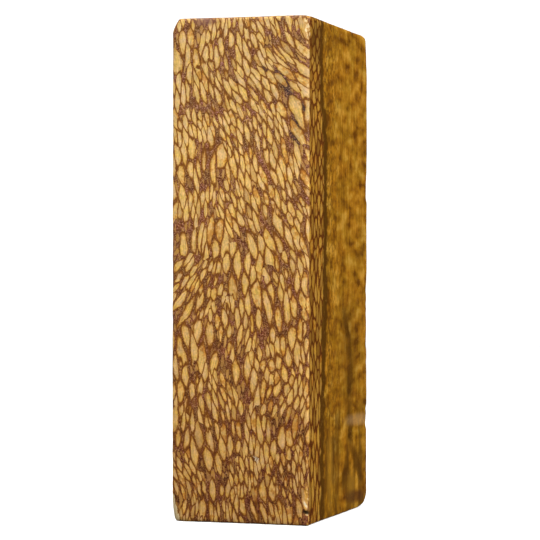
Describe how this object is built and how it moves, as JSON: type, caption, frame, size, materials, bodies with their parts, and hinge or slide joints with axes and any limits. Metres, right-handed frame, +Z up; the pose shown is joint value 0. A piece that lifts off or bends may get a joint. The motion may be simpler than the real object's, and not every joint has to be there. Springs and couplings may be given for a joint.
{
  "type": "wood block",
  "caption": "Upright rectangular hardwood block with softened edges and lightly worn corners, sanded smooth, showing a close figure of pale lens-shaped rays in brown wood.",
  "frame": {"origin": "middle of the foot end, on the surface the block stands on", "axes": "+Z up, along the grain and the block's longest side; -Y out of the narrow face that shows the lens-shaped ray ends; +X out of a broad radial face"},
  "size_m": [0.036, 0.056, 0.125],
  "materials": {
    "hardwood": "sanded smooth and sealed, satin"
  },
  "bodies": {
    "root": {"wood_block": "hardwood"}
  },
  "joints": []
}
